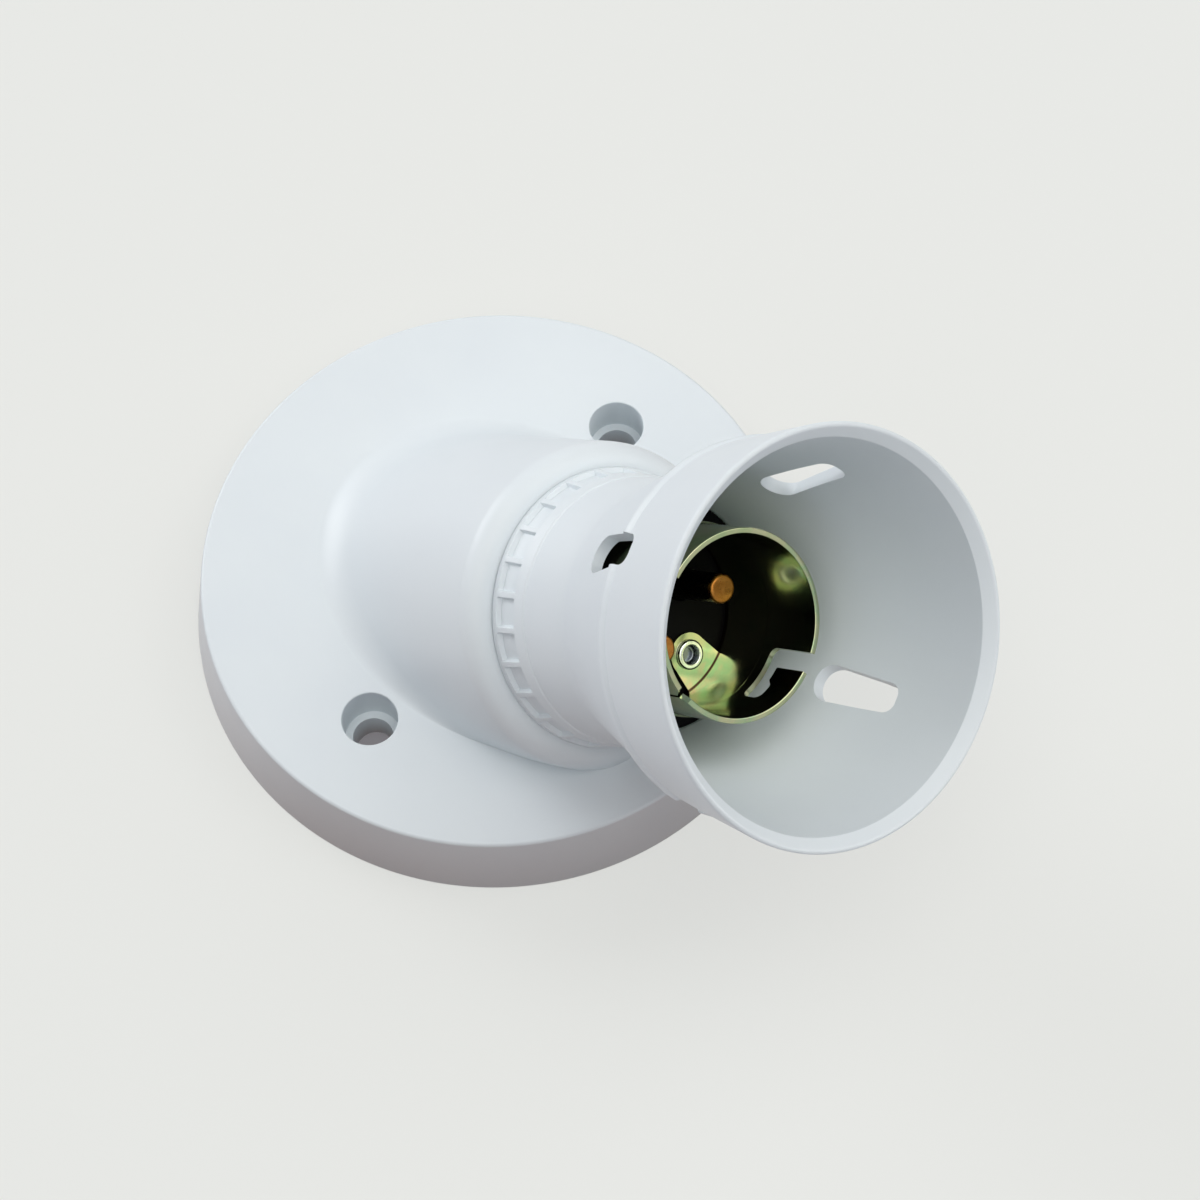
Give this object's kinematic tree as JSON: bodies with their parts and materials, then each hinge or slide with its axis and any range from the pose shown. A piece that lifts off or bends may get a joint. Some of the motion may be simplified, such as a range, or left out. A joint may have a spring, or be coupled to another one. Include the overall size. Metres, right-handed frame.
{
  "type": "angled batten lampholder",
  "caption": "Angled batten lampholder: round screw-down base, spout leaning at 45 degrees, and a screw-on flared skirt round a bayonet socket with sprung contacts.",
  "frame": {"origin": "centre of the base's back plane, midway between the two fixing holes", "axes": "+Z out of the wall or ceiling, +X the way the lamp leans, fixing holes along Y"},
  "size_m": [0.1107, 0.0822, 0.0733],
  "materials": {
    "white_moulding": "cool white moulded plastic, softly glossy",
    "black_moulding": "black thermoset moulding",
    "passivated_steel": "zinc plate with a yellow-green passivate",
    "bright_steel": "bright plated steel",
    "brass": "turned brass, slightly dull",
    "spring_steel": "spring wire"
  },
  "bodies": {
    "base": {"base_moulding": "white_moulding"},
    "insert": {"contact_block": "black_moulding", "bayonet_barrel": "passivated_steel", "barrel_eyelet_1": "bright_steel", "barrel_eyelet_2": "bright_steel", "plunger_spring_1": "spring_steel", "plunger_spring_2": "spring_steel", "terminal_1": "brass", "terminal_2": "brass", "terminal_screw_1": "bright_steel", "terminal_screw_2": "bright_steel"},
    "skirt": {"skirt": "white_moulding"},
    "plunger_1": {"plunger_1": "brass"},
    "plunger_2": {"plunger_2": "brass"}
  },
  "joints": [
    {"name": "insert_lift", "type": "slide", "parent": "base", "child": "insert", "axis": [0.7071, 0, 0.7071], "range_m": [0, 0.0075]},
    {"name": "skirt_turn", "type": "hinge", "parent": "insert", "child": "skirt", "pos_m": [-0.0037, 0, 0], "axis": [0.7071, 0, 0.7071], "range_deg": [0, 1080]},
    {"name": "plunger_1_press", "type": "slide", "parent": "insert", "child": "plunger_1", "axis": [-0.7071, 0, -0.7071], "range_m": [0, 0.0035], "stiffness_N_per_m": 1500, "deforming": ["plunger_spring_1"]},
    {"name": "plunger_2_press", "type": "slide", "parent": "insert", "child": "plunger_2", "axis": [-0.7071, 0, -0.7071], "range_m": [0, 0.0035], "stiffness_N_per_m": 1500, "deforming": ["plunger_spring_2"]}
  ],
  "couplings": [
    {"joint": "skirt_turn", "follows": "insert_lift", "rad_per_m": 2513.3}
  ]
}
